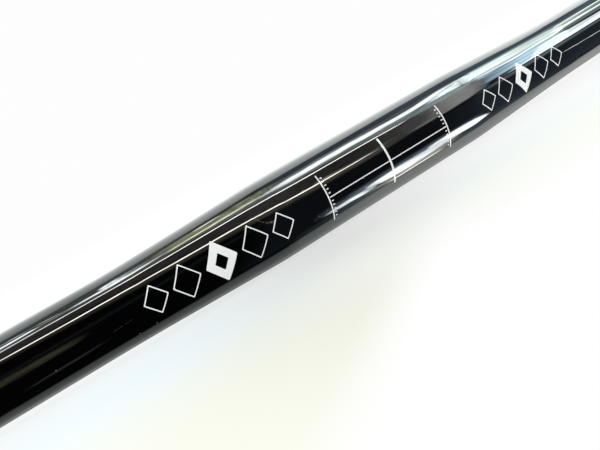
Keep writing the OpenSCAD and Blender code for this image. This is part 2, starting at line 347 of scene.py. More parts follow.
def moulded(name, col_a, col_b, rough, scale=1300.0, strength=0.35, spec=0.35):
    m, nt, bs = new_mat(name)
    obj = N(nt, "ShaderNodeTexCoord").outputs["Object"]
    fine = noise(nt, obj, scale, 3.0, 0.6)
    blot = noise(nt, obj, 140.0, 2.0, 0.5)
    link(nt, mix_rgb(nt, blot, col_a, col_b), bs.inputs["Base Color"])
    link(nt, math_node(nt, "ADD", rough, math_node(nt, "MULTIPLY", fine, 0.15)), bs.inputs["Roughness"])
    bs.inputs["Specular IOR Level"].default_value = spec
    b = bump(nt, fine, strength, 0.00008)
    link(nt, b.outputs[0], bs.inputs["Normal"])
    return m


BLACK = gloss_black()
INK = white_ink()
CAP = {s: turned(n, k, (0.010, 0.010, 0.011, 1), (0.018, 0.018, 0.019, 1), 0.0, 0.30, 0.44, 5200.0, 0.35, 0.5, 0.25)
       for s, n, k in (("left", "black_anodised_left", -1), ("right", "black_anodised_right", 1))}
STEEL = {s: turned(n, k, (0.055, 0.055, 0.058, 1), (0.10, 0.10, 0.105, 1), 0.9, 0.26, 0.42, 6500.0, 0.25)
         for s, n, k in (("left", "black_oxide_left", -1), ("right", "black_oxide_right", 1))}
BRASS = {s: turned(n, k, (0.66, 0.44, 0.17, 1), (0.74, 0.54, 0.25, 1), 1.0, 0.22, 0.38, 5200.0, 0.3)
         for s, n, k in (("left", "turned_brass_left", -1), ("right", "turned_brass_right", 1))}
ZINC = {s: turned(n, k, (0.55, 0.57, 0.60, 1), (0.68, 0.68, 0.66, 1), 1.0, 0.2, 0.36, 6000.0, 0.15)
        for s, n, k in (("left", "zinc_plate_left", -1), ("right", "zinc_plate_right", 1))}
BORE = moulded("bare_aluminium_bore", (0.36, 0.36, 0.37, 1), (0.46, 0.46, 0.46, 1), 0.34, 900.0, 0.3, 0.5)
BORE.node_tree.nodes["Principled BSDF"].inputs["Metallic"].default_value = 1.0
NYLON = moulded("moulded_nylon", (0.030, 0.030, 0.033, 1), (0.045, 0.045, 0.048, 1), 0.46, 1500.0, 0.3)
RUBBER = moulded("black_rubber", (0.012, 0.012, 0.012, 1), (0.020, 0.020, 0.020, 1), 0.55, 2200.0, 0.35)


# ---------------------------------------------------------------- meshes
def make(name, verts, faces, mats, body, sharp=28.0, mat_index=None):
    me = bpy.data.meshes.new(name)
    me.from_pydata([tuple(v) for v in verts], [], faces)
    me.validate(verbose=False)
    for m in mats:
        me.materials.append(m)
    if mat_index:
        for i, p in enumerate(me.polygons):
            p.material_index = mat_index[i]
    bm = bmesh.new()
    bm.from_mesh(me)
    bmesh.ops.recalc_face_normals(bm, faces=bm.faces)
    bm.to_mesh(me)
    bm.free()
    for p in me.polygons:
        p.use_smooth = True
    me.set_sharp_from_angle(angle=math.radians(sharp))
    ob = bpy.data.objects.new(name, me)
    bpy.context.scene.collection.objects.link(ob)
    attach(ob, body)
    return ob


def spaced(a, b, n):
    return [a + (b - a) * i / n for i in range(n + 1)]


def bore_radius(t):
    k = (WALL_C - WALL_E - RC + RG)  # the bore narrows from the clamp zone's to the grip's
    return RC - WALL_C + smooth((t - S2) / (S3 - S2)) * k


def build_tube():
    half = spaced(0, S1, 40)[1:] + spaced(S1, S2, 8)[1:] + spaced(S2, S3, 44)[1:] + spaced(S3, S4, 14)[1:]
    half += spaced(S4, S5 - 0.4, 64)[1:]
    stations = [-t for t in reversed(half)] + [0.0] + half
    SEG = 176
    verts, faces, mats, att = [], [], [], []

    def ring(s, r):
        base = len(verts)
        for i in range(SEG):
            a = 2 * math.pi * i / SEG
            verts.append(on_tube(s, a, 0.0, r))
            att.append((s * MM, r * MM * math.cos(a), -r * MM * math.sin(a)))
        return base

    def span(a, b, m):
        for i in range(SEG):
            j = (i + 1) % SEG
            faces.append((a + i, a + j, b + j, b + i))
            mats.append(m)

    loop = [(-S5, RG - 0.4)] + [(s, radius(s)) for s in stations] + [(S5, RG - 0.4)]
    inner_st = spaced(S5 - 0.3, S4, 20) + spaced(S4, S2, 24)[1:] + spaced(S2, 0, 14)[1:]
    inner_st = inner_st + [-t for t in reversed(inner_st[:-1])]
    ends = [(S5, bore_radius(S5) + 0.3)]
    inner = [(s, bore_radius(abs(s))) for s in inner_st]
    prof = loop + ends + inner + [(-S5, bore_radius(S5) + 0.3)]
    bases = [ring(s, r) for s, r in prof]
    n_out = len(loop)
    for k in range(len(prof)):
        m = 0 if k < n_out - 1 else 1
        if k == n_out - 1 or k == len(prof) - 1:
            m = 0
        span(bases[k], bases[(k + 1) % len(prof)], m)
    ob = make("painted_tube", verts, faces, [BLACK, BORE], "bar", 20.0, mats)
    me = ob.data
    # metres along the tube and round it, for streaks that follow the bends
    layer = me.attributes.new("straight", "FLOAT_VECTOR", "POINT")
    layer.data.foreach_set("vector", [c for v in att for c in v])
    uv = me.uv_layers.new(name="tube")
    for lp in me.loops:
        a = att[lp.vertex_index]
        ang = math.atan2(-a[2], a[1])
        uv.data[lp.index].uv = (a[0], ang * RG * MM)
    # close the seam at the back of the tube, where the angle jumps by a turn
    for p in me.polygons:
        us = [uv.data[i].uv[1] for i in p.loop_indices]
        if max(us) - min(us) > math.pi * RG * MM:
            for i in p.loop_indices:
                if uv.data[i].uv[1] < 0:
                    uv.data[i].uv[1] += 2 * math.pi * RG * MM
    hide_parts("bar_tube")
    return ob


# ---------------------------------------------------------------- prints
INK_T, INK_IN = 0.03, -0.02


def arc_at(x):
    """Arc length of the centreline where it crosses the plane at x, in mm."""
    lo, hi = -S5, S5
    for _ in range(50):
        mid = (lo + hi) / 2
        if centre(mid)[0] < x:
            lo = mid
        else:
            hi = mid
    return (lo + hi) / 2


def on_face(x, z, lift):
    """The point of the tube that lies at x and at the height z on the printed face's own upright plane."""
    s = arc_at(x)
    for _ in range(6):
        cx, cy, a = centre(s)
        r = radius(s)
        q = (z + cy * math.sin(ROLL)) / r
        beta = math.asin(max(-1.0, min(1.0, q)))
        ang = ROLL - beta  # down positive from the front
        x_now = cx + r * math.sin(a) * math.cos(ang)
        s += x - x_now
    return on_tube(s, ang, lift)


def film(name, grids, node):
    """Ink: each grid is rows of (x, z) on the face or ('ring', x, beta); rows share a length."""
    verts, faces = [], []
    for closed, rows, place in grids:
        n, m = len(rows), len(rows[0])
        base = len(verts)
        for lift in (INK_T, INK_IN):
            for row in rows:
                for q in row:
                    verts.append(place(q, lift))

        def idx(layer, i, j):
            return base + layer * n * m + i * m + (j % m)

        cols = m if closed else m - 1
        for i in range(n - 1):
            for j in range(cols):
                faces.append((idx(0, i, j), idx(0, i, j + 1), idx(0, i + 1, j + 1), idx(0, i + 1, j)))
                faces.append((idx(1, i, j), idx(1, i + 1, j), idx(1, i + 1, j + 1), idx(1, i, j + 1)))
        for j in range(cols):
            for i in (0, n - 1):
                faces.append((idx(0, i, j), idx(1, i, j), idx(1, i, j + 1), idx(0, i, j + 1)))
        if not closed:
            for i in range(n - 1):
                for j in (0, m - 1):
                    faces.append((idx(0, i, j), idx(0, i + 1, j), idx(1, i + 1, j), idx(1, i, j)))
    ob = make(name, verts, faces, [INK], "bar", 35.0)
    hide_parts(node)
    return ob


def ring_place(q, lift):
    return on_tube(q[0], ROLL + q[1], lift)


def band(x0, x1, b0, b1):
    """Ink between x0 and x1 and between two angles from the datum line, with softly rounded corners."""
    n = max(2, int(abs(b1 - b0) * RC / 0.35))
    rr = min(0.32 * (x1 - x0), 0.32 * (b1 - b0) * RC, 0.12)
    corner = [(rr * (1 - math.cos(i * math.pi / 8)), rr * (1 - math.sin(i * math.pi / 8)) / RC) for i in range(5)]
    long = max(1, int((x1 - x0) / 2.0))
    sides = [(x0 + c, t) for c, t in corner]
    sides += [(x0 + rr + (x1 - x0 - 2 * rr) * i / long, 0.0) for i in range(1, long)]
    sides += [(x1 - c, t) for c, t in reversed(corner)]
    rows = [[(x, b0 + t + (b1 - b0 - 2 * t) * j / n) for j in range(n + 1)] for x, t in sides]
    return False, rows, ring_place


def diamond_ring(cx, w, h, w2, h2):
    """A diamond w by h with a diamond w2 by h2 left open in its middle."""
    n, m = 26, 5
    if w2 > 0:
        m = max(3, int((w - w2) / 2 / 0.5))
    per = []
    c = [(-1, 0), (0, -1), (1, 0), (0, 1)]
    for k in range(4):
        a, b = c[k], c[(k + 1) % 4]
        for j in range(n):
            t = j / n
            # corners rounded a little, as ink is
            px, pz = a[0] + (b[0] - a[0]) * t, a[1] + (b[1] - a[1]) * t
            e = min(t, 1 - t)
            pull = 1 - 0.022 * math.exp(-(e * max(w, h)) / 0.28)
            per.append((px * pull, pz * pull))
    rows = []
    for i in range(m + 1):
        t = i / m
        ww, hh = w + (w2 - w) * t, h + (h2 - h) * t
        rows.append([(cx + px * ww / 2, pz * hh / 2) for px, pz in per])
    return True, rows, lambda q, lift: on_face(q[0], q[1], lift)


def diamonds(name, node, cx, n, w, h, gap):
    grids = [diamond_ring(cx, w, h, w * 0.42, h * 0.42)]
    for s in (-1, 1):
        for i in range(1, n + 1):
            ww, hh = w * (1 - 0.12 * i), h * (1 - 0.15 * i)
            k = 0.34 * math.hypot(ww, hh)
            x = cx + s * i * (w + gap) * (1 - 0.065 * (i - 1))
            grids.append(diamond_ring(x, ww, hh, ww - 2 * k / hh, hh - 2 * k / ww))
    return film(name, grids, node)


def build_prints():
    d = math.radians
    half, rx = d(35.6), 24.8
    film("ink_centre_ring", [band(-0.34, 0.34, -half - d(1), half + d(1))], "centre_ring_print")
    film("ink_left_ring", [band(-rx - 0.21, -rx + 0.21, -half, half)], "left_ring_print")
    film("ink_right_ring", [band(rx - 0.21, rx + 0.21, -half, half)], "right_ring_print")
    t = 0.155 / RC
    film("ink_datum_line", [band(-rx + 0.45, -0.35, -t, t), band(0.35, rx - 0.35, -t, t)], "datum_line_print")
    for side, node in ((-1, "left_ticks_print"), (1, "right_ticks_print")):
        grids = []
        for k in range(-5, 6):
            if k:
                x = side * (rx - 0.96)
                b = k * d(5.81)
                grids.append(band(x - 0.38, x + 0.38, b - t, b + t))
        film("ink_" + node[:-6], grids, node)
    diamonds("ink_left_pattern", "left_pattern_print", -62.5, 2, 10.2, 12.8, 0.9)
    diamonds("ink_right_pattern", "right_pattern_print", 64.0, 2, 9.4, 11.4, 0.8)


# ---------------------------------------------------------------- end plug screw with its thread
def end_frame(side):
    """Matrix from a plug's own frame, +Z out of the tube from the end face, to the row frame."""
    z = Vector((side * math.cos(A2), math.sin(A2), 0))
    y = Vector((0, 0, 1))
    x = y.cross(z)
    m = Matrix((x, y, z)).transposed().to_4x4()
    m.translation = Vector((side * P5[0] * MM, P5[1] * MM, 0))
    return m


def build_screw(side, name):
    tip, pitch, seg = -24.55, 0.8, 40
    major, minor = 2.48, 2.03
    verts, faces = [], []

    def ring(z, r, n=seg, hexr=None):
        base = len(verts)
        for i in range(n):
            a = 2 * math.pi * i / n
            rr = r
            if hexr:
                k = math.pi / 3
                rr = hexr / math.cos((a % k) - k / 2)
            verts.append(Vector((rr * math.cos(a) * MM, rr * math.sin(a) * MM, z * MM)))
        return base

    def join(a, b, n=seg):
        for i in range(n):
            j = (i + 1) % n
            faces.append((a + i, a + j, b + j, b + i))

    def fan(a, z, n=seg):
        c = len(verts)
        verts.append(Vector((0, 0, z * MM)))
        for i in range(n):
            faces.append((a + i, a + (i + 1) % n, c))

    n = 96
    head_r, top, under = 4.25, 2.03, -2.97
    # head: socket floor, hexagon, chamfered rim, knurled skirt, underside
    c = ring(-0.6, 0, n, 1.98)
    fan(c, -1.1, n)
    s1 = ring(1.72, 0, n, 2.0)
    join(c, s1, n)
    s2 = ring(2.03, 2.62, n)
    join(s1, s2, n)
    e = ring(top, head_r - 0.55, n)
    join(s2, e, n)
    e2 = ring(top - 0.12, head_r - 0.2, n)
    join(e, e2, n)
    e3 = ring(top - 0.5, head_r - 0.02, n)
    join(e2, e3, n)
    prev = e3
    for z in (top - 0.8, under + 0.55):
        base = len(verts)
        for i in range(n):
            a = 2 * math.pi * i / n
            rr = head_r - (0.11 if i % 2 else 0.0)
            verts.append(Vector((rr * math.cos(a) * MM, rr * math.sin(a) * MM, z * MM)))
        join(prev, base, n)
        prev = base
    e4 = ring(under + 0.3, head_r - 0.05, n)
    join(prev, e4, n)
    e5 = ring(under, head_r - 0.3, n)
    join(e4, e5, n)
    neck = ring(under, major, n)
    join(e5, neck, n)
    neck2 = ring(under - 0.75, major, n)
    join(neck, neck2, n)
    # thread: a height field round the shank
    z0, z1 = under - 0.8, tip + 0.1
    rows = int((z0 - z1) / (pitch / 10))
    prev = neck2
    for k in range(rows + 1):
        z = z0 + (z1 - z0) * k / rows
        base = len(verts)
        fade = min(1.0, k / 10.0)
        point = min(1.0, (z - z1) / 0.9)
        for i in range(n):
            a = 2 * math.pi * i / n
            ph = ((z / pitch) - a / (2 * math.pi)) % 1.0
            crest = min(1.0, max(0.0, 1.5 - abs(ph - 0.5) * 3.6))
            r = minor + (major - minor) * crest
            r = major + (r - major) * fade
            r = min(r, minor - 0.12 + (major - minor + 0.12) * point)
            verts.append(Vector((r * math.cos(a) * MM, r * math.sin(a) * MM, z * MM)))
        join(prev, base, n)
        prev = base
    fan(prev, tip, n)
    m = end_frame(side)
    if side < 0:
        # the right-hand thread stays right-handed: the frame is turned, never mirrored
        assert m.to_3x3().determinant() > 0
    verts = [m @ v for v in verts]
    ob = make(name + "_cap_screw", verts, faces, [STEEL[name]], name + "_screw", 30.0)
    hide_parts(name + "_plug_screw")
    return ob


TUBE = build_tube()
build_prints()
for side, name in ((1, "right"), (-1, "left")):
    build_screw(side, name)
    for part, mat in (("plug_cap", CAP[name]), ("o_ring", RUBBER), ("expander_sleeve", NYLON),
                      ("cone_nut", BRASS[name]), ("washer", ZINC[name])):
        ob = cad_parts[name + "_" + part]
        ob.data.materials.clear()
        ob.data.materials.append(mat)


# ---------------------------------------------------------------- stage
def plane(name, cx, cy, w, h, z):
    me = bpy.data.meshes.new(name)
    v = [(cx - w, cy - h, z), (cx + w, cy - h, z), (cx + w, cy + h, z), (cx - w, cy + h, z)]
    me.from_pydata(v, [], [(0, 1, 2, 3)])
    ob = bpy.data.objects.new(name, me)
    bpy.context.scene.collection.objects.link(ob)
    return ob


FLOOR = plane("floor", 0, 0, 6.0, 6.0, -0.01275)
m, nt, bs = new_mat("pale_floor")
fsep = N(nt, "ShaderNodeSeparateXYZ")
link(nt, N(nt, "ShaderNodeTexCoord").outputs["Object"], fsep.inputs[0])


def pool(cx, cy, left, right, sy):
    """A soft pool on the floor for painting shade and colour casts: 1 at its middle, with its own reach to the left,
    to the right and in depth, in mm.
    """
    dx = math_node(nt, "SUBTRACT", fsep.outputs[0], cx * MM)
    dx = math_node(nt, "MAXIMUM", math_node(nt, "DIVIDE", dx, right * MM), math_node(nt, "DIVIDE", dx, -left * MM))
    dy = math_node(nt, "DIVIDE", math_node(nt, "SUBTRACT", fsep.outputs[1], cy * MM), sy * MM)
    r2 = math_node(nt, "ADD", math_node(nt, "MULTIPLY", dx, dx), math_node(nt, "MULTIPLY", dy, dy))
    return math_node(nt, "EXPONENT", math_node(nt, "MULTIPLY", r2, -0.5))


# painted on the floor: a painted shade under the middle of the bar, a fainter painted shade in front of it, a painted
# daylight tint on the left and a painted warm cast, both of which end at a slanting line on the table
ahead = step(nt, math_node(nt, "SUBTRACT", fsep.outputs[0], fsep.outputs[1]), 24 * MM, 47 * MM, a=1.0, b=0.0)
warm = math_node(nt, "MULTIPLY", pool(-82, -98, 42, 32, 55), ahead)
painted_cast_tint = mix_rgb(nt, warm, (1.0, 1.0, 1.0, 1), (0.985, 1.0, 0.86, 1))
painted_cast_tint = mix_rgb(nt, pool(-98, -32, 45, 32, 24), painted_cast_tint, (0.90, 1.0, 1.03, 1))
# two fainter painted colour casts beside the right half of the bar
painted_cast_tint = mix_rgb(nt, pool(5, -72, 33, 40, 16), painted_cast_tint, (0.97, 0.99, 0.935, 1))
painted_cast_tint = mix_rgb(nt, pool(18, -46, 26, 60, 13), painted_cast_tint, (0.93, 0.985, 0.965, 1))
link(nt, painted_cast_tint, bs.inputs["Emission Color"])
# painted shade: the floor's even glow is dimmed in soft pools round the bar
shade = math_node(nt, "MULTIPLY", pool(-33, -22, 25, 30, 30), 0.24)
shade = math_node(nt, "MULTIPLY_ADD", math_node(nt, "MULTIPLY", pool(-71, -80, 22, 24, 45), ahead), 0.14, shade)
shade = math_node(nt, "MULTIPLY_ADD", pool(25, -14, 30, 60, 9), 0.05, shade)
link(nt, math_node(nt, "MULTIPLY", math_node(nt, "SUBTRACT", 1.0, shade), 0.862), bs.inputs["Emission Strength"])
bs.inputs["Base Color"].default_value = (0.18, 0.18, 0.18, 1)
bs.inputs["Roughness"].default_value = 1.0
bs.inputs["Specular IOR Level"].default_value = 0.0
FLOOR.data.materials.append(m)
FLOOR.visible_glossy = False


# ---------------------------------------------------------------- studio
def curve(nt, val, pts, lo, hi):
    """A drawn curve over val: pts are (val, height), and the ends run on level."""
    off = min(0.0, min(y for _, y in pts))
    top = max(y for _, y in pts) - off or 1.0
    n = N(nt, "ShaderNodeFloatCurve")
    link(nt, step(nt, val, lo, hi, smoothstep=False), n.inputs["Value"])
    fill(n.mapping.curves[0], [((x - lo) / (hi - lo), (y - off) / top) for x, y in pts])
    n.mapping.update()
    out = math_node(nt, "MULTIPLY", n.outputs[0], top)
    return math_node(nt, "ADD", out, off) if off else out


def fill(cv, data):
    if data[0][0] > 0:
        data = [(0.0, data[0][1])] + data
    if data[-1][0] < 1:
        data = data + [(1.0, data[-1][1])]
    while len(cv.points) < len(data):
        cv.points.new(0.5, 0.5)
    for p, q in zip(cv.points, data):
        p.location = q
        p.handle_type = "AUTO_CLAMPED"


WORLD = bpy.data.worlds.new("studio")
bpy.context.scene.world = WORLD
WORLD.use_nodes = True
WORLD.cycles.sampling_method = "NONE"
wt = WORLD.node_tree
wt.nodes.clear()
w_out = wt.nodes.new("ShaderNodeOutputWorld")
direction = N(wt, "ShaderNodeTexCoord").outputs["Generated"]
sep = N(wt, "ShaderNodeSeparateXYZ")
link(wt, direction, sep.inputs[0])
ALONG = sep.outputs[0]  # along the bar
ROUND = math_node(wt, "MULTIPLY", math_node(wt, "ARCTAN2", sep.outputs[2], math_node(wt, "MULTIPLY", sep.outputs[1], -1.0)),
                  180 / math.pi)  # 0 in front, +90 above, 180 behind, -90 below
grain_v = N(wt, "ShaderNodeCombineXYZ")
link(wt, ALONG, grain_v.inputs[0])
link(wt, math_node(wt, "MULTIPLY", ROUND, 0.02), grain_v.inputs[1])
GV = grain_v.outputs[0]
LO, HI = -0.4, 1.0
U = step(wt, ALONG, LO, HI, smoothstep=False)
WAVE = math_node(wt, "SUBTRACT", noise(wt, GV, 1.0, 2.0, 0.5, stretch=(28.0, 4.0, 1.0)), 0.5)
FIELD = {"fine": noise(wt, GV, 1.0, 3.0, 0.55, stretch=(46.0, 7.0, 1.0)),
         "bars": noise(wt, GV, 1.0, 3.0, 0.6, stretch=(3.5, 11.0, 1.0))}


def lamp(name, tint, soft, wave, mottle, pts):
    """One soft light. pts are (place along the bar, middle and half height round it in degrees, brightness)."""
    n = N(wt, "ShaderNodeRGBCurve")
    n.label = name
    link(wt, U, n.inputs["Color"])
    for k, (off, span) in enumerate(((180.0, 360.0), (0.0, 60.0), (0.0, 40.0))):
        fill(n.mapping.curves[k], [((p[0] - LO) / (HI - LO), (p[k + 1] + off) / span) for p in pts])
    n.mapping.update()
    s = N(wt, "ShaderNodeSeparateColor")
    link(wt, n.outputs[0], s.inputs[0])
    mid = math_node(wt, "MULTIPLY_ADD", s.outputs[0], 360.0, -180.0)
    d = math_node(wt, "SUBTRACT", ROUND, mid)
    if wave:
        d = math_node(wt, "MULTIPLY_ADD", WAVE, float(wave), d)
    d = math_node(wt, "SUBTRACT", math_node(wt, "ABSOLUTE", d), math_node(wt, "MULTIPLY", s.outputs[1], 60.0))
    v = math_node(wt, "MULTIPLY", step(wt, d, -soft, soft, a=40.0, b=0.0), s.outputs[2])
    if mottle:
        v = math_node(wt, "MULTIPLY", v, step(wt, FIELD[mottle[0]], 0.28, 0.62, a=mottle[1], b=1.0))
    out = N(wt, "ShaderNodeVectorMath", operation="SCALE")
    out.inputs[0].default_value = tint
    link(wt, v, out.inputs["Scale"])
    return out.outputs[0]


def vec(op, a, b):
    n = N(wt, "ShaderNodeVectorMath", operation=op)
    link(wt, a, n.inputs[0])
    link(wt, b, n.inputs[1])
    return n.outputs[0]


def blend(fac, a, b):
    n = N(wt, "ShaderNodeMix", data_type="FLOAT")
    link(wt, fac, n.inputs[0])
    link(wt, a, n.inputs[2])
    link(wt, b, n.inputs[3])
    return n.outputs[0]


def tinted(val, tint):
    n = N(wt, "ShaderNodeVectorMath", operation="SCALE")
    n.inputs[0].default_value = tint
    link(wt, val, n.inputs["Scale"])
    return n.outputs[0]


def sheet(profiles, mixes, edge, soft, above, tint, gain=None):
    """The pale sheet the bar lies on, as it reflects: brightness round the bar, blended along it, with a soft edge."""
    v = curve(wt, ROUND, profiles[0], -180, 180)
    for p, m in zip(profiles[1:], mixes):
        v = blend(m, v, curve(wt, ROUND, p, -180, 180))
    if gain:
        v = math_node(wt, "MULTIPLY", v, curve(wt, ALONG, gain, LO, HI))
    d = math_node(wt, "SUBTRACT", ROUND, curve(wt, ALONG, edge, LO, HI))
    if not above:
        d = math_node(wt, "MULTIPLY", d, -1.0)
    s = curve(wt, ALONG, soft, LO, HI)
    d = math_node(wt, "DIVIDE", d, s)
    return tinted(math_node(wt, "MULTIPLY", v, step(wt, d, -1.0, 1.0)), tint)


SHEET_TOP = [
    [(90, 2.5), (124, 2.45), (141, 2.5), (150, 2.7), (158, 2.7), (166, 2.1), (174, 1.5), (180, 1.0)],
    [(90, 3.2), (114, 3.1), (124, 2.9), (141, 2.6), (158, 2.35), (166, 1.85), (180, 1.0)],
    [(90, 3.3), (131, 3.0), (147, 2.5), (163, 1.8), (180, 1.0)]]
SHEET_LOW = [
    [(-180, 0.1), (-166, 0.17), (-158, 0.27), (-150, 0.55), (-143, 0.76), (-136, 0.76), (-120, 0.61), (-105, 0.62), (-97, 0.44), (-90, 0.2)],
    [(-180, 0.1), (-166, 0.17), (-159, 0.22), (-150, 0.39), (-143, 0.56), (-135, 0.62), (-120, 0.58), (-105, 0.68), (-80, 0.6)],
    [(-180, 0.16), (-166, 0.27), (-159, 0.36), (-151, 0.52), (-143, 0.75), (-128, 0.98), (-113, 1.35), (-105, 1.65), (-80, 2.0)],
    [(-180, 0.25), (-166, 0.34), (-158, 0.46), (-150, 0.56), (-143, 0.72), (-127, 1.10), (-103, 1.45), (-80, 1.5)]]
right_end = step(wt, ALONG, 0.62, 0.74)
top_sheet = sheet(SHEET_TOP, [step(wt, ALONG, 0.2, 0.45), right_end],
                  [(-0.3, 107), (0.05, 106.5), (0.21, 106.5), (0.34, 110), (0.5, 112.5), (0.63, 114.5), (0.68, 115),
                   (0.71, 115), (0.74, 112), (0.76, 118.5), (0.79, 121.5)],
                  [(-0.3, 7), (0.1, 6.5), (0.4, 2.4), (0.8, 2.6)], True, (0.97, 1.02, 1.01),
                  [(-0.3, 1), (0, 1), (0.14, 1.2), (0.3, 1.03), (0.4, 0.92), (0.5, 1.04), (0.72, 1.05), (0.75, 0.94)])
low_sheet = sheet(SHEET_LOW, [step(wt, ALONG, 0.02, 0.26),
                              curve(wt, ALONG, [(0.24, 0), (0.39, 0.36), (0.48, 0.92), (0.52, 1.0)], LO, HI), right_end],
                  [(-0.3, -95.5), (0.05, -95), (0.24, -91), (0.6, -89.5), (0.76, -94.5), (0.82, -101.5)], [(-0.3, 3.5), (0.8, 3.5)], False, (0.98, 1.02, 1.01))

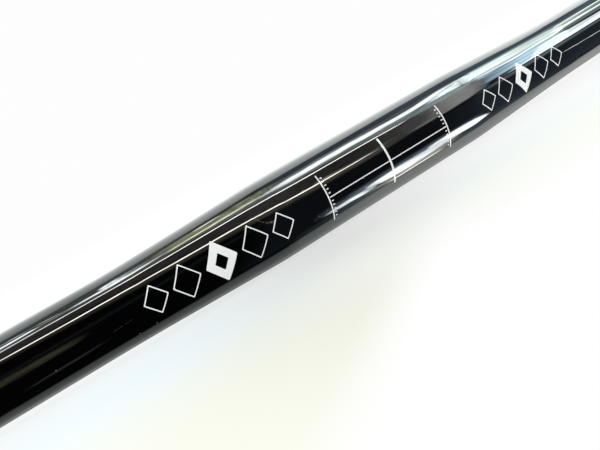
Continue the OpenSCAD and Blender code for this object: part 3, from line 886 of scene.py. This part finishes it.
# name, tint, softness in degrees, waviness, mottle, shape
LAMPS = [
    ("wall above the paper, left", (0.90, 1.04, 1.04), 4.1, 0, ("fine", 0.6),
     [(-0.17, 93, 13, 0.85), (0.14, 92, 12, 1.0), (0.24, 100.5, 5, 0.65), (0.41, 104, 7, 0)]),
    ("wall above the paper", (0.75, 0.99, 1.26), 4.9, 0, ("fine", 0.75),
     [(0.25, 102.5, 7, 0), (0.31, 103, 7, 0.4), (0.38, 103.5, 8, 0.55), (0.51, 100, 11, 0.6),
      (0.6, 100, 15.5, 0.7), (0.71, 104.5, 14.5, 0.7), (0.76, 102.5, 12.5, 0.6), (0.8, 105, 17.5, 0.6),
      (0.82, 101, 21.5, 0.7)]),
    ("window behind leaves", (0.97, 1.02, 1.02), 1.2, 1.6, ("fine", 0.00),
     [(-0.17, 94.5, 1.5, 12), (-0.09, 93, 1.5, 10), (-0.07, 89.5, 1, 12), (-0.055, 88.5, 0.6, 0)]),
    ("window behind leaves, lower edge", (0.95, 1.02, 1.04), 1.8, 1.2, ("fine", 0.60),
     [(-0.19, 86, 2.5, 25), (-0.12, 86, 2, 25), (-0.11, 86, 1.5, 7.5), (-0.09, 85, 2, 4.6), (-0.07, 85, 2, 5.9),
      (-0.05, 84.5, 2.5, 22), (0.0, 83.2, 3.2, 25), (0.06, 82.8, 3.1, 26), (0.09, 82.4, 2.4, 18), (0.12, 82, 2, 6),
      (0.15, 81.5, 2, 0)]),
    ("gap in the leaves", (0.95, 1.02, 1.04), 2.6, 1.6, ("fine", 0.45),
     [(-0.02, 88.5, 2.5, 0), (-0.005, 89.5, 3.5, 10), (0.01, 90.5, 4.5, 20), (0.04, 90.5, 5, 18), (0.06, 91, 5, 9),
      (0.09, 91.5, 4, 4), (0.14, 91.5, 3.5, 0)]),
    ("leaves", (1.06, 1.12, 0.80), 3.3, 0, ("fine", 0.40),
     [(0.08, 88, 8, 0), (0.1, 87.5, 9.5, 2.0), (0.14, 87, 11, 3.4), (0.22, 86, 12, 3.8), (0.27, 86, 12, 3.4), (0.38, 89, 8, 2.2),
      (0.42, 93, 4, 0)]),
    ("lit leaves", (1.08, 1.16, 0.76), 3.2, 1.4, ("fine", 0.45),
     [(0.08, 81, 1.5, 0), (0.12, 80.5, 2.2, 15), (0.18, 79.5, 2.5, 19), (0.26, 78.5, 2.4, 15), (0.33, 78.5, 1.5, 2), (0.39, 79, 1.5, 0)]),
    ("thin warm tube", (1.05, 1.02, 0.93), 0.9, 0, ("fine", 0.80),
     [(-0.21, 76, 0.9, 26), (-0.06, 71.5, 0.9, 33), (0.045, 69, 0.9, 39), (0.12, 65.8, 0.9, 39), (0.19, 63.5, 0.9, 39),
      (0.24, 61.5, 0.9, 39), (0.38, 60.5, 0.9, 40), (0.42, 58.3, 0.9, 40), (0.5, 55.8, 0.9, 38), (0.55, 52.8, 0.9, 20),
      (0.57, 52.3, 0.9, 0)]),
    ("second thin warm tube", (1.07, 1.02, 0.91), 1.1, 0, ("fine", 0.80),
     [(-0.26, 54, 1.2, 28), (-0.215, 51.5, 1.2, 32), (-0.145, 47.8, 1.2, 38), (-0.105, 46.5, 1.2, 36), (0.02, 43.6, 1.2, 38),
      (0.09, 38.3, 1.2, 38), (0.16, 35, 1.2, 36), (0.205, 32, 1.2, 34), (0.38, 28, 1.2, 36), (0.415, 25.3, 1.2, 34),
      (0.445, 23.5, 1.2, 32), (0.48, 22, 1.2, 28), (0.5, 21.5, 1.1, 18), (0.53, 19.5, 1.2, 0)]),
    ("glow under the tubes", (1.08, 1.03, 0.88), 6.0, 0, ("fine", 0.60),
     [(-0.26, 47.5, 4, 0.4), (-0.145, 41, 4, 0.6), (0.02, 37, 4.5, 0.65), (0.16, 28, 5, 0.75), (0.205, 25, 5, 0.9),
      (0.38, 21, 4.5, 0.9), (0.445, 17.5, 4.5, 1.2), (0.5, 16, 5, 1.2), (0.56, 16, 5, 0.5), (0.6, 16, 5, 0)]),
    ("ceiling between the tubes", (1.00, 1.03, 0.98), 5.0, 0, ("fine", 0.60),
     [(-0.24, 64.5, 9.5, 0.5), (0.04, 57, 10, 0.5), (0.12, 51.5, 12, 0.45), (0.22, 45.5, 14, 0.6), (0.38, 44, 15, 0.6),
      (0.44, 41, 15.5, 0.4), (0.5, 37, 17, 0.45), (0.55, 33, 18.5, 0.75), (0.58, 32.5, 19, 0)]),
    ("glow over the second tube", (1.05, 1.02, 0.91), 3.2, 0, ("fine", 0.60),
     [(0.42, 28.5, 2, 0), (0.44, 27.5, 2.4, 4.0), (0.46, 26.5, 2.4, 2.6), (0.49, 25, 2.5, 1.2), (0.53, 23, 3, 1.4),
      (0.56, 22, 3, 0)]),
    ("ceiling round the lamp", (0.86, 1.06, 1.08), 2.9, 0, ("fine", 0.70),
     [(-0.2, 81, 3, 1.8), (-0.05, 77, 3, 1.4), (0.12, 74, 4, 1.2), (0.22, 71.5, 5.5, 2.4), (0.28, 68, 6, 1.9), (0.43, 67.5, 5, 2.5), (0.55, 61, 7, 3.4),
      (0.57, 58, 8, 3.9), (0.62, 52.5, 5.5, 6.1), (0.71, 55.5, 5.5, 5.1), (0.74, 54.5, 3.5, 3.5),
      (0.75, 55, 3.5, 0)]),
    ("grey wall", (1.00, 1.02, 0.99), 3.1, 0, ("fine", 0.80),
     [(0.51, 32.5, 17.5, 0), (0.555, 32, 18.5, 0.9), (0.57, 31.5, 19, 1.1), (0.58, 31.5, 19.5, 1.7), (0.6, 31.5, 20, 3.8),
      (0.62, 32, 19.5, 4.5), (0.75, 32.5, 16.5, 2.1), (0.77, 33, 16.5, 0)]),
    ("lower rim of the grey wall", (1.02, 1.02, 0.96), 2.6, 0, ("fine", 0.70),
     [(0.52, 17, 2, 0), (0.55, 16, 2.5, 1.4), (0.57, 15.5, 3.2, 3.2), (0.59, 16, 3.6, 3.6), (0.62, 16, 3.5, 3.4),
      (0.66, 16, 3, 0)]),
    ("broad lamp", (0.97, 1.02, 1.02), 4.2, 1.6, ("fine", 0.60),
     [(0.25, 73.5, 1.5, 3), (0.28, 75, 2.2, 11), (0.38, 77.5, 4.5, 17), (0.41, 77.5, 6.5, 24), (0.47, 78, 6.8, 25), (0.56, 74, 5.5, 23),
      (0.59, 77.5, 7, 21), (0.61, 83, 3, 17), (0.67, 85, 2, 9.7), (0.69, 86.5, 2, 0)]),
    ("haze over the broad lamp", (0.88, 1.03, 1.09), 5.5, 0, ("fine", 0.60),
     [(0.34, 87, 3, 0), (0.39, 88, 4.5, 2.2), (0.45, 88.5, 5, 3.2), (0.48, 88.5, 5, 2.6), (0.53, 89, 5, 1.7),
      (0.6, 89, 5, 1.7), (0.64, 89, 4, 0)]),
    ("lamp, far end", (0.90, 1.03, 1.08), 3.6, 2.0, ("fine", 0.55),
     [(0.57, 66, 2, 0), (0.6, 68, 6.5, 22), (0.635, 73, 12, 13), (0.68, 75, 14, 15), (0.71, 71, 10, 18),
      (0.73, 68.5, 6.5, 0)]),
    ("bright window", (0.90, 1.05, 1.00), 3.0, 0, ("bars", 0.45),
     [(0.69, 72.5, 16, 0), (0.71, 72.5, 16.5, 8), (0.76, 70, 18.5, 11), (0.79, 69, 19, 11), (0.825, 72, 18.5, 8),
      (0.845, 73, 18.5, 4), (0.87, 72, 18, 2)]),
    ("top of the bright window", (0.86, 1.05, 1.00), 2.5, 1.5, ("bars", 0.55),
     [(0.69, 72.5, 10, 0), (0.71, 73.5, 10.5, 18), (0.74, 74.5, 10.5, 18), (0.75, 76, 10, 17.5), (0.765, 74.5, 9, 14), (0.78, 73, 5, 13),
      (0.82, 73.5, 5, 20), (0.845, 73.5, 3, 24), (0.87, 74, 2, 14)]),
    ("upper bar of the bright window", (0.90, 1.05, 1.00), 2.2, 1.0, ("bars", 0.60),
     [(0.79, 90, 2, 0), (0.81, 90.5, 2, 12), (0.84, 92, 2, 13), (0.87, 94, 2, 6)]),
    ("bar of the bright window", (0.92, 1.04, 1.03), 1.6, 0.8, None,
     [(0.72, 59, 1.5, 0), (0.73, 59, 1.5, 17), (0.765, 56, 2.5, 16), (0.78, 54.5, 3, 20), (0.79, 57.5, 3.5, 16), (0.82, 62, 2.8, 24),
      (0.842, 66, 2.5, 18), (0.855, 68, 2.5, 7), (0.87, 72, 3, 10)]),
    ("streak across the bright window", (0.91, 1.04, 1.04), 1.8, 0.8, None,
     [(0.725, 66.5, 2, 0), (0.74, 67, 2.2, 18), (0.765, 67, 2, 19), (0.775, 67, 1.8, 16), (0.79, 66, 1.5, 0)]),
    ("blue side of the bright window", (0.82, 1.03, 1.08), 3.4, 1.2, ("fine", 0.70),
     [(0.69, 83, 4, 0), (0.705, 84, 5, 12.5), (0.735, 84, 5, 12), (0.75, 85, 4, 0)]),
    ("haze over the bright window", (0.82, 1.03, 1.09), 4.5, 0, ("fine", 0.70),
     [(0.68, 90, 4, 0), (0.7, 90, 4, 4.2), (0.75, 91, 4, 3.3), (0.8, 95, 4, 2.4), (0.83, 97, 4, 1.3), (0.86, 98, 4, 0.3)]),
    ("blue pane under the streak", (0.70, 1.02, 1.22), 3.0, 0, ("bars", 0.60),
     [(0.718, 52, 4, 0), (0.735, 52, 4.5, 7.5), (0.75, 51, 4.5, 8.5), (0.765, 50, 4, 6), (0.775, 50, 4, 0)]),
    ("lower pane", (0.68, 1.01, 1.22), 4.0, 0, ("bars", 0.45),
     [(0.725, 36, 12, 0), (0.75, 36, 13, 2.6), (0.764, 38.5, 13.5, 6), (0.782, 39, 13.5, 11), (0.797, 35.5, 16, 14),
      (0.82, 33.5, 15.5, 0)]),
    ("lower pane, bright side", (0.88, 1.04, 1.07), 2.5, 0, ("bars", 0.60),
     [(0.79, 31.5, 13.5, 0), (0.8, 32.5, 14, 16), (0.81, 34, 16, 19), (0.84, 34.5, 16.5, 18), (0.87, 34, 14.5, 16),
      (0.89, 33, 12.5, 11)]),
    ("sill", (0.92, 1.04, 1.03), 1.4, 0, None,
     [(0.765, 18.5, 1.2, 0), (0.785, 18.5, 1.4, 7), (0.8, 19.5, 2.6, 20), (0.9, 25.5, 7, 18)]),
    ("under the sill", (0.78, 1.03, 1.19), 7.4, 0, None,
     [(0.55, 9.5, 1, 0.2), (0.73, 9, 2, 1), (0.81, 8, 3.5, 2.9), (0.9, 8.5, 4, 2)]),
    ("thin bright edge", (0.97, 1.02, 1.02), 0.7, 0, None,
     [(0.81, -26.5, 0.8, 0), (0.83, -28.5, 0.8, 10), (0.88, -35, 0.9, 13), (0.89, -40.5, 0.9, 14)]),
    ("low window", (0.95, 1.02, 1.05), 3.2, 1.8, ("fine", 0.55),
     [(0.41, -66, 2, 0), (0.422, -66.5, 2.6, 6), (0.437, -67, 3.6, 19), (0.451, -67, 4.6, 24), (0.468, -69, 4.8, 24),
      (0.478, -69.5, 5, 12), (0.488, -69, 5, 9), (0.496, -68, 4, 0)]),
    ("low window", (0.95, 1.02, 1.05), 3.5, 1.6, ("fine", 0.60),
     [(0.468, -61.5, 3, 0), (0.48, -62, 4, 12), (0.49, -62.5, 5.5, 22), (0.503, -65, 8.5, 25), (0.53, -66, 10.5, 25),
      (0.545, -67, 10.5, 19), (0.56, -67.5, 9.5, 16), (0.58, -67, 7, 14), (0.595, -67, 5, 12), (0.605, -67, 4, 0)]),
    ("warm floor under it", (1.05, 1.01, 0.95), 2.5, 0, ("fine", 0.60),
     [(0.455, -78.5, 4, 0), (0.48, -79.5, 4, 2.4), (0.51, -81, 5, 4.5), (0.53, -81, 4.5, 6), (0.56, -81, 4.5, 5),
      (0.59, -80, 4.5, 2), (0.62, -79.5, 4, 0)]),
    ("low window", (0.95, 1.02, 1.05), 3.2, 1.4, ("fine", 0.65),
     [(0.552, -57, 2, 0), (0.562, -56, 2.8, 16), (0.572, -55.5, 3.4, 24), (0.582, -57, 5, 24), (0.592, -60, 8.5, 24),
      (0.605, -61.8, 9.2, 24), (0.62, -63.2, 7.4, 24), (0.65, -64.5, 5.6, 22), (0.7, -68, 2.5, 10), (0.72, -69.5, 0.7, 0)]),
    ("haze round the low window", (0.76, 1.00, 1.24), 9.0, 0, ("fine", 0.35),
     [(0.39, -60.5, 7, 0), (0.42, -61, 8, 0.8), (0.45, -60.5, 8.5, 2.4), (0.5, -59.5, 10.5, 3), (0.56, -59, 10.5, 3.2),
      (0.6, -57.5, 8.5, 2.6), (0.74, -62.5, 6.5, 0)]),
    ("floor under the low window", (0.79, 1.01, 1.19), 3.7, 0, None,
     [(0.18, -81.5, 7, 0), (0.38, -82, 8, 0.2), (0.42, -82, 8, 0.35), (0.49, -83, 7, 1.0), (0.61, -81.5, 8.5, 0.6),
      (0.7, -85.5, 9.5, 0.5), (0.77, -85.5, 12, 0.2), (0.83, -92.5, 12, 0.1)]),
    ("small bright gap", (1.04, 1.00, 0.88), 1.4, 0, None,
     [(0.12, 95.7, 1.2, 0), (0.14, 95.6, 1.2, 4.5), (0.175, 95.4, 1.2, 7), (0.185, 95.2, 2, 15),
      (0.21, 95.1, 1.6, 11), (0.24, 94.5, 1, 0)]),
    ("strip of warm floor", (1.07, 1.01, 0.88), 0.8, 0, None,
     [(0.485, -85.4, 1, 0), (0.505, -86, 1, 9), (0.52, -86.4, 1.2, 21), (0.55, -86.8, 1.2, 21), (0.57, -87.2, 1.1, 12),
      (0.59, -87.5, 1, 0)]),
    ("dim furniture", (1.15, 1.12, 0.73), 5.0, 0, ("fine", 0.50),
     [(-0.31, -5.5, 8, 0.5), (-0.25, -7, 7, 0.7), (-0.21, -8, 6, 0.5), (-0.18, -8, 4.5, 0)]),
    ("dim floor beyond it", (1.00, 1.00, 1.03), 3.5, 0, ("fine", 0.45),
     [(-0.23, -58.5, 2, 0), (-0.19, -57.5, 2.5, 0.6), (-0.14, -55.5, 2.5, 0.6), (-0.11, -54.5, 2, 0)]),
    ("dark room", (0.73, 0.99, 1.28), 6.1, 0, None,
     [(0.14, -38, 44.5, 0), (0.23, -38, 44.5, 0.1), (0.52, -39, 45.5, 0.07), (0.58, -39, 45.5, 0.09),
      (0.62, -39, 45.5, 0.2), (0.73, -41, 48, 0.3), (0.8, -44, 46.5, 0.2), (0.88, -47.5, 49.5, 0.2)]),
]
lamps = lamp(*LAMPS[0])
for row in LAMPS[1:]:
    lamps = vec("MAXIMUM", lamps, lamp(*row))
# past what the front view mirrors, the room fades out and one soft box is left for the views along the bar
fade = math_node(wt, "MULTIPLY", step(wt, ALONG, -0.5, -0.34), step(wt, ALONG, 0.93, 1.0, a=1.0, b=0.1))
faded = N(wt, "ShaderNodeVectorMath", operation="SCALE")
link(wt, lamps, faded.inputs[0])
link(wt, fade, faded.inputs["Scale"])
side = lamp("soft box at the side", (1.0, 1.0, 1.0), 14.0, 0, None, [(-0.4, 58, 14, 1.6), (-0.36, 58, 14, 0)])
acc = vec("MAXIMUM", vec("ADD", top_sheet, low_sheet), vec("MAXIMUM", faded.outputs[0], side))

# mirror-like surfaces see the lamps, everything else an even soft light, and the camera a pale backdrop
room = N(wt, "ShaderNodeBackground")
link(wt, acc, room.inputs["Color"])
even = N(wt, "ShaderNodeBackground")
even.inputs["Color"].default_value = (0.98, 1.0, 1.0, 1)
even.inputs["Strength"].default_value = 0.5
white = N(wt, "ShaderNodeBackground")
white.inputs["Color"].default_value = (0.985, 0.985, 0.985, 1)
lp = N(wt, "ShaderNodeLightPath")
gloss = N(wt, "ShaderNodeMixShader")
link(wt, lp.outputs["Is Glossy Ray"], gloss.inputs[0])
link(wt, even.outputs[0], gloss.inputs[1])
link(wt, room.outputs[0], gloss.inputs[2])
mx = N(wt, "ShaderNodeMixShader")
link(wt, lp.outputs["Is Camera Ray"], mx.inputs[0])
link(wt, gloss.outputs[0], mx.inputs[1])
link(wt, white.outputs[0], mx.inputs[2])
link(wt, mx.outputs[0], w_out.inputs[0])


def sun(name, towards, spread, power):
    """A broad distant softbox that shines from the direction towards."""
    ld = bpy.data.lights.new(name, "SUN")
    ld.energy = power
    ld.angle = math.radians(spread)
    ob = bpy.data.objects.new(name, ld)
    bpy.context.scene.collection.objects.link(ob)
    ob.rotation_euler = Vector(towards).to_track_quat("Z", "Y").to_euler()
    ob.visible_glossy = False
    return ob


sun("soft_front", (0.1, -0.79, 0.62), 60, 1.0)
sun("soft_back", (0.1, 0.90, 0.44), 40, 0.96)

# ---------------------------------------------------------------- camera
cam = bpy.data.cameras.new("camera")
CAM = bpy.data.objects.new("camera", cam)
bpy.context.scene.collection.objects.link(CAM)
bpy.context.scene.camera = CAM
cam.sensor_fit = "HORIZONTAL"
cam.sensor_width = 36.0
cam.lens = 44.676
cam.clip_start, cam.clip_end = 0.005, 50.0
right = Vector((0.78446, -0.39207, -0.48053))
up = Vector((0.48463, -0.09595, 0.86944))
back = right.cross(up).normalized()
right = up.cross(back).normalized()
R3 = Matrix((right, up.normalized(), back)).transposed()
M4 = R3.to_4x4()
M4.translation = Vector((-0.12102, -0.210855, 0.020442))
CAM.matrix_world = M4

vs = bpy.context.scene.view_settings
vs.view_transform = "Standard"
vs.look = "None"
vs.exposure = 0.0
vs.gamma = 1.0
